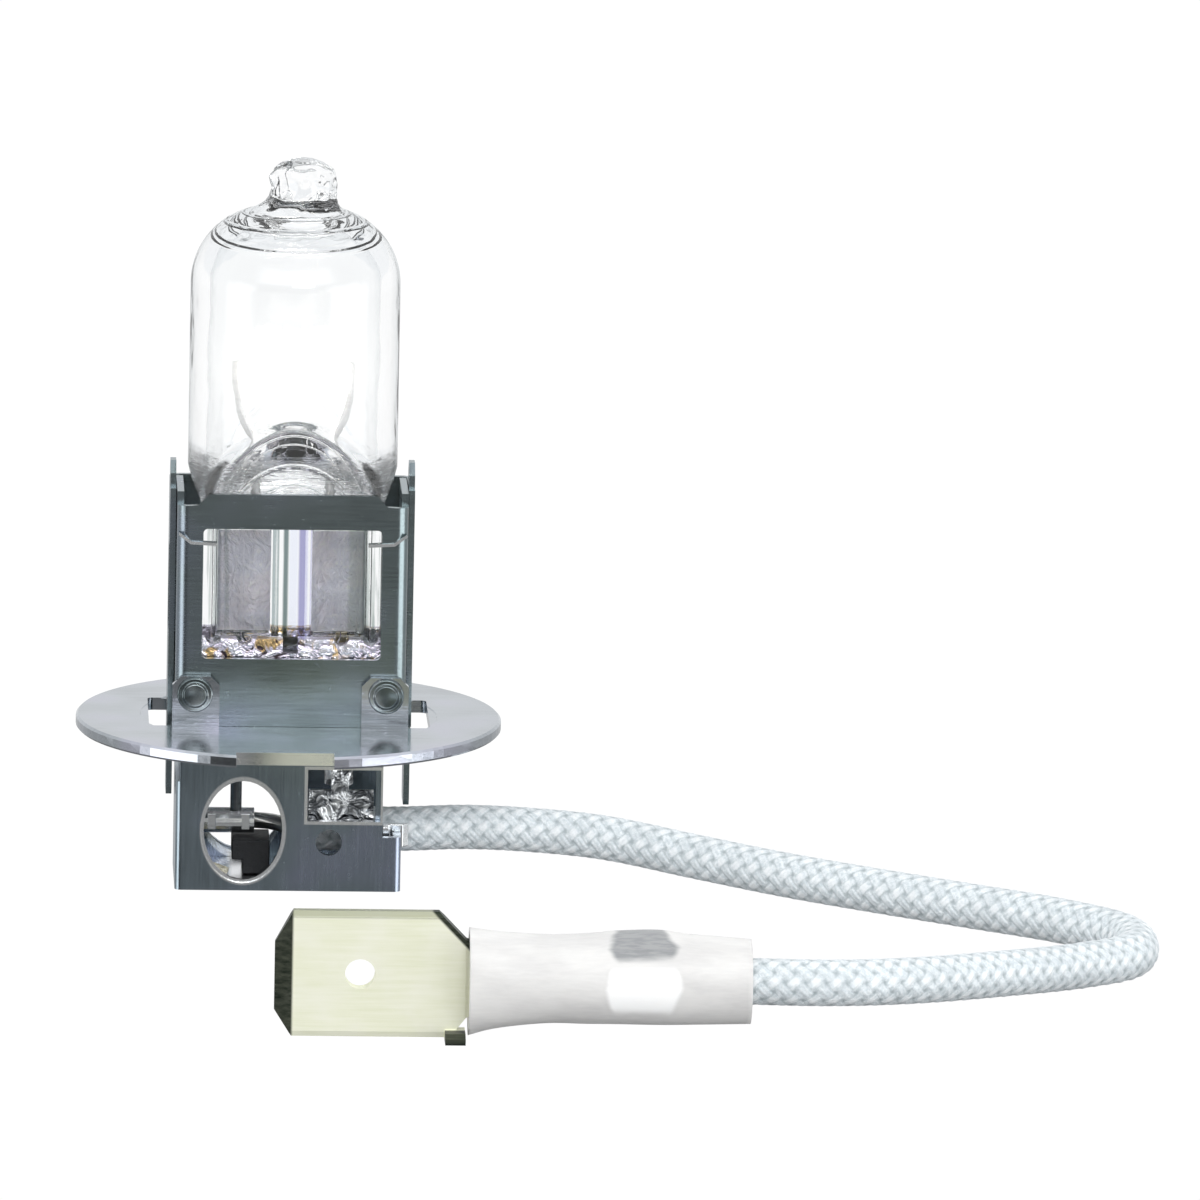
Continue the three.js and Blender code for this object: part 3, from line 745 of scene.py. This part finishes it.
def catmull_rom4(rows, per_span):
    """Uniform Catmull-Rom through rows of numbers of any length."""
    ends = [rows[0], *rows, rows[-1]]
    result = []
    for i in range(len(rows) - 1):
        p0, p1, p2, p3 = ends[i:i + 4]
        for step in range(per_span):
            t = step / per_span
            result.append(tuple(
                0.5 * (2 * b + (c - a) * t + (2 * a - 5 * b + 4 * c - d) * t**2
                       + (3 * b - a - 3 * c + d) * t**3)
                for a, b, c, d in zip(p0, p1, p2, p3)
            ))
    result.append(tuple(rows[-1]))
    return result


def soft_limit(value, limit, softness=0.12):
    """Value held to plus or minus limit with a rounded corner."""
    size = abs(value)
    share = max(softness - abs(size - limit), 0.0) / softness
    held = min(size, limit) - share * share * softness * 0.25
    return math.copysign(held, value)


def profile_between(points, spacing):
    """Rows of numbers interpolated so that neighbours are no more than spacing apart in the first two."""
    result = [points[0]]
    for a, b in zip(points, points[1:]):
        steps = max(1, math.ceil(math.hypot(b[0] - a[0], b[1] - a[1]) / spacing))
        result += [tuple(p + (q - p) * i / steps for p, q in zip(a, b)) for i in range(1, steps + 1)]
    return result


def press_half_depth(z):
    """Half the depth of the pressed part at height z above the seat."""
    line = [(10.6, 1.5), (11.3, 1.85), (16.1, 5.4), (17.0, 6.2)]
    if z <= line[0][0]:
        return line[0][1]
    for (z0, d0), (z1, d1) in zip(line, line[1:]):
        if z <= z1:
            return d0 + (d1 - d0) * (z - z0) / (z1 - z0)
    return 9.0


def window(value, low, high, soft):
    rise = min(max((value - low) / soft, 0), 1)
    fall = min(max((high - value) / soft, 0), 1)
    return rise * rise * (3 - 2 * rise) * fall * fall * (3 - 2 * fall)


def quartz_outer(sides):
    arc = [(DOME_FOOT + DOME_OUTER * math.sin(a), DOME_EDGE + DOME_OUTER * math.cos(a))
           for a in (math.radians(d) for d in range(4, 78, 4))]
    knob = [(26.62, 2.15), (26.85, 1.85), (27.15, 1.68), (27.5, 1.7), (27.9, 1.76), (28.3, 1.72),
            (28.65, 1.5), (28.92, 1.1), (29.1, 0.62), (29.18, 0.2)]
    tube = [(3.6, 4.75), (3.72, 4.88), (10.6, 4.9), (11.6, 5.0), (13.2, 5.4), (DOME_FOOT, 5.4)]
    profile = [*tube, *arc, *knob]
    vertices = []
    rows = profile_between(profile, 0.14)
    for z, radius in rows:
        depth = press_half_depth(z)
        half_x = PINCH_HALF_X + max(0.0, z - 11.2) * 0.5
        for side in range(sides):
            angle = 2 * math.pi * side / sides
            x, y = radius * math.cos(angle), radius * math.sin(angle)
            if z < 17.5:
                x, y = soft_limit(x, half_x), soft_limit(y, depth)
                channel = window(abs(x), 0.8, 4.05, 0.2) * window(z, 4.0, 10.4, 0.4)
                y -= math.copysign(0.4 * channel, y) if abs(y) > 1.0 else 0.0
            if z > 25.4:
                x, y = crumpled(x, y, z)
            vertices.append((x, y, SEAT + z))
    faces = grid_faces(len(rows), sides)
    faces += [cap(0, sides, False), cap(len(rows) - 1, sides, True)]
    return vertices, faces


def crumpled(x, y, z):
    """Lumps of the sealed-off tip, faint on the dome and strong on the knob, which leans to the right."""
    on_knob = min(max((z - 26.3) / 0.7, 0.0), 1.0)
    amount = 0.012 + 0.09 * on_knob
    lump = noise.noise(Vector((x, y, z)) * 1.1) + 0.7 * noise.noise(Vector((x, y, z)) * 2.1)
    swell = 1 + amount * lump
    return x * swell + 0.3 * on_knob, y * swell


def cavity_floor(x, y):
    """Height above the seat where the pressed walls meet: an arch across, a trough from front to back."""
    return 13.9 - 3.0 * (x / CAVITY_R) ** 2 + 0.5 * abs(y)


def quartz_inner(sides, first):
    """Cavity's rows as (share, radius): share runs 0 to 1 up the wall, and past 1 in mm above its top."""
    floor = [(0.0, radius) for radius in (0.25, 0.9, 1.6, 2.3, 3.0, 3.6, 4.0)]
    floor += [(0.012, 4.28), (0.035, CAVITY_R)]
    wall = [(0.035 + 0.965 * step / 60, CAVITY_R) for step in range(1, 61)]
    dome = [(1 + DOME_INNER * math.sin(a), DOME_EDGE + DOME_INNER * math.cos(a))
            for a in (math.radians(d) for d in range(3, 88, 3))]
    top = [(3.93, 1.2), (3.96, 0.7), (3.97, 0.2)]
    rows = profile_between(floor, 0.16) + wall + dome + top
    vertices = []
    for share, radius in rows:
        for side in range(sides):
            angle = 2 * math.pi * side / sides
            x, y = radius * math.cos(angle), radius * math.sin(angle)
            low = cavity_floor(x, y)
            z = low + (DOME_FOOT - low) * min(share, 1.0) + max(share - 1.0, 0.0)
            vertices.append((x, y, SEAT + z))
    faces = [tuple(reversed([i + first for i in face])) for face in grid_faces(len(rows), sides)]
    faces += [cap(0, sides, True, first), cap(len(rows) - 1, sides, False, first)]
    return vertices, faces


def quartz():
    sides = 160
    vertices, faces = quartz_outer(sides)
    inner_vertices, inner_faces = quartz_inner(sides, len(vertices))
    piece = new_piece(
        "quartz_capsule", vertices + inner_vertices, faces + inner_faces, quartz_glass())
    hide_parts("quartz_envelope")
    return piece


def frayed_strands():
    """Loose glass-fibre strands that lie along the foot of the base's eye."""
    draw = random.Random(7)
    vertices, faces = [], []
    sides = 6
    for _ in range(34):
        start = Vector((-4.65 + draw.uniform(0, 0.25), draw.uniform(-1.85, -0.8), draw.uniform(1.0, 1.42)))
        end = Vector((draw.uniform(-3.4, -3.0), draw.uniform(-1.85, -0.8), draw.uniform(0.5, 0.66)))
        sag = Vector((0, draw.uniform(-0.05, 0.05), draw.uniform(-0.2, 0.05)))
        line = [start.lerp(end, t / 8) + sag * math.sin(math.pi * t / 8) for t in range(9)]
        first = len(vertices)
        for (a, b), point in zip(frames_along(line), line):
            for side in range(sides):
                angle = 2 * math.pi * side / sides
                vertices.append(point + (a * math.cos(angle) + b * math.sin(angle)) * 0.05)
        faces += grid_faces(len(line), sides, first)
        faces += [cap(0, sides, False, first), cap(len(line) - 1, sides, True, first)]
    piece = new_piece("frayed_strands", vertices, faces, cream_fibre())
    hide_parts("braid_tail")


# ---- carried-over CAD nodes ----
def finish_node(node, material, bevel=0.0, segments=3):
    """Gives a CAD node its material and, with modifiers, softened edges."""
    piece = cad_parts[node]
    piece.data.materials.clear()
    piece.data.materials.append(material)
    weld = piece.modifiers.new("weld", "WELD")
    weld.merge_threshold = 1e-6
    if bevel:
        edge = piece.modifiers.new("edges", "BEVEL")
        edge.width = bevel * MM
        edge.segments = segments
        edge.limit_method = "ANGLE"
        edge.angle_limit = math.radians(35)
        edge.harden_normals = True
    return piece


def finish_cad_nodes():
    holder, base, bright, nub = holder_steel(), base_steel(), bright_metal(), nub_steel()
    outer_lead = drawn_wire("lead_wire", (0.2, 0.22, 0.23))
    inner_lead = drawn_wire("inner_lead", (0.9, 0.9, 0.9))
    core = stranded_metal()
    foil = wrinkled_foil()
    for node, material, bevel in (
        ("front_holder", holder, 0.1),
        ("rear_holder", holder, 0.09),
        ("weld_nub_left", nub, 0.1),
        ("weld_nub_right", nub, 0.1),
        ("flange", flange_steel(), 0.05),
        ("base_shell", base, 0.11),
        ("base_back_plate", base, 0.05),
        ("splice_ferrule", bright, 0.05),
        ("ground_strap", pressed_lug(), 0.06),
        ("cord_clamp", bright, 0.08),
        ("pinch_bracket", tinted_steel(), 0.08),
        ("insulator_pad", black_pad(), 0.08),
        ("outer_lead_left", outer_lead, 0),
        ("outer_lead_right", drawn_wire("gilt_lead", (0.5, 0.4, 0.22)), 0),
        ("inner_lead_left", inner_lead, 0),
        ("inner_lead_right", inner_lead, 0),
        ("filament_coil", glowing_wire(), 0),
        ("foil_left", foil, 0),
        ("foil_right", foil, 0),
        ("core_end_base", core, 0),
        ("core_end_terminal", core, 0),
        ("spade_terminal", plated_brass(), 0.04),
    ):
        finish_node(node, material, bevel)


# ---- studio ----
def add_floor():
    """White sheet that the camera sees, also through the glass; the metal sees the room's lower half."""
    mesh = bpy.data.meshes.new("studio_floor")
    half = 3.0
    corners = [(-half, -half, 0), (half, -half, 0), (half, half, 0), (-half, half, 0)]
    mesh.from_pydata(corners, [], [(0, 1, 2, 3)])
    floor = bpy.data.objects.new("studio_floor", mesh)
    floor.location.z = -0.00002
    floor.visible_diffuse = False
    floor.visible_glossy = False
    floor.visible_shadow = False
    mesh.materials.append(floor_material())
    bpy.context.scene.collection.objects.link(floor)


def add_light(name, place, target, size, power):
    """Square soft light; places are in millimetres."""
    data = bpy.data.lights.new(name, "AREA")
    data.size = size * MM
    data.energy = power
    light = bpy.data.objects.new(name, data)
    light.location = Vector(place) * MM
    light.rotation_mode = "QUATERNION"
    light.rotation_quaternion = (Vector(target) - Vector(place)).to_track_quat("-Z", "Y")
    bpy.context.scene.collection.objects.link(light)


def add_world():
    """Room of soft cards: dim in front, bright upright ones at left and right, pale behind and above."""
    world = bpy.data.worlds.new("studio")
    world.use_nodes = True
    graph = Graph(world.node_tree)
    x, y, z = graph.parts(graph.node("ShaderNodeTexCoord", output="Generated"))
    turn = x.math("ARCTAN2", -y) * (180 / math.pi)
    level = (z + 0.18).size().step(0.42, 0.18)
    right = turn.between(38, 84, 5) * level * 2.8
    left = turn.between(-84, -50, 5) * level * 2.4
    gap = turn.between(-46, -20, 4) * -0.15
    front = turn.size().step(55, 35) * z.between(0.24, 0.62, 0.06) * 1.6
    behind = turn.size().step(62, 100) * z.step(-0.4, 0.0) * 0.7
    above = z.step(0.6, 0.9) * 0.55
    upper = z.step(0.08, 0.3) * turn.size().step(100, 60) * 0.45
    light = right + left + gap + front + upper + behind * z.step(0.98, 0.8) + above + 0.26
    sockets = {"Color": (0.97, 0.985, 1.0, 1), "Strength": light}
    background = graph.node("ShaderNodeBackground", None, sockets)
    output = graph.tree.nodes.new("ShaderNodeOutputWorld")
    graph.feed(output.inputs["Surface"], background)
    bpy.context.scene.world = world
    bpy.context.scene.view_settings.view_transform = "Standard"
    bpy.context.scene.view_settings.look = "None"


def add_bloom():
    """Soft glare round the filament: a lens effect on the finished picture, not part of any material."""
    scene = bpy.context.scene
    scene.use_nodes = True
    tree = scene.node_tree
    tree.nodes.clear()
    layers = tree.nodes.new("CompositorNodeRLayers")
    glare = tree.nodes.new("CompositorNodeGlare")
    glare.glare_type = "BLOOM"
    glare.quality = "HIGH"
    glare.inputs["Threshold"].default_value = 4.0
    glare.inputs["Strength"].default_value = 0.6
    glare.inputs["Size"].default_value = 0.3
    output = tree.nodes.new("CompositorNodeComposite")
    tree.links.new(layers.outputs["Image"], glare.inputs["Image"])
    tree.links.new(glare.outputs["Image"], output.inputs["Image"])


add_camera()
braided_cord()
quartz()
frayed_strands()
finish_cad_nodes()
add_floor()
add_world()
add_light("front_card", (25, -160, 95), (15, -20, 5), 80, 0.07)
add_bloom()
